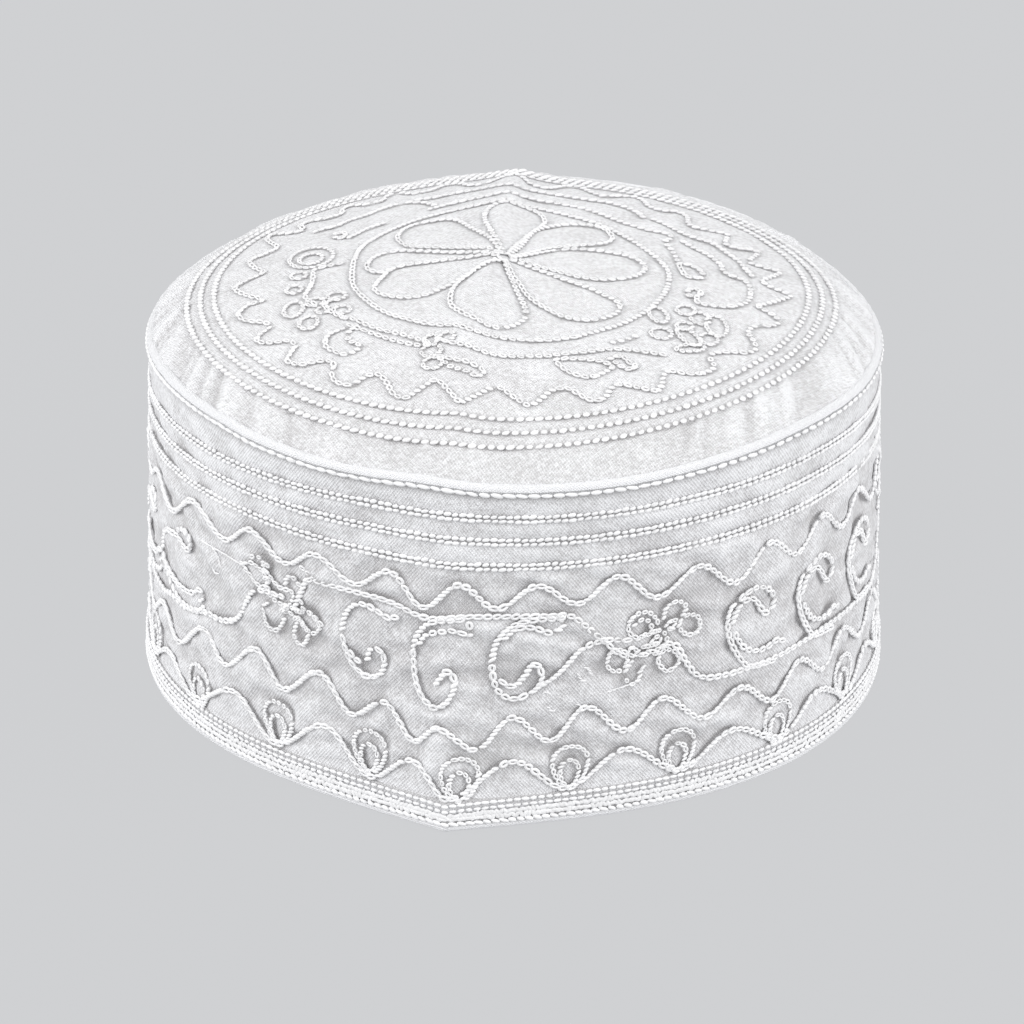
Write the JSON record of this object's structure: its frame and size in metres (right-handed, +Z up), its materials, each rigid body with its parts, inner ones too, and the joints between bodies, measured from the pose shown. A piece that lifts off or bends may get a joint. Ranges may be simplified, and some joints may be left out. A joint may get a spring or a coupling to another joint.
{
  "type": "embroidered cloth prayer cap",
  "caption": "Round brimless cloth cap with an upright side band, a low domed crown, a rolled seam welt and a thick turned hem, standing open side down.",
  "frame": {"origin": "bottom centre of the cap's box, under the middle of the opening, on the surface that the hem rests on", "axes": "+Z up through the crown, +Y to the back along the crease, +X to the right of someone who looks from the front"},
  "size_m": [0.1928, 0.2033, 0.1097],
  "materials": {
    "crown_cloth": "matt white cotton, plain weave",
    "welt_cloth": "smooth rolled white cotton",
    "band_cloth": "matt white cotton, plain weave, lightly puckered",
    "hem_cloth": "white cotton worked over with dense stitches",
    "thread": "soft twisted white cotton thread"
  },
  "bodies": {
    "root": {"crown_panel": "crown_cloth", "crown_welt": "welt_cloth", "side_band": "band_cloth", "hem_roll": "hem_cloth"}
  },
  "joints": []
}
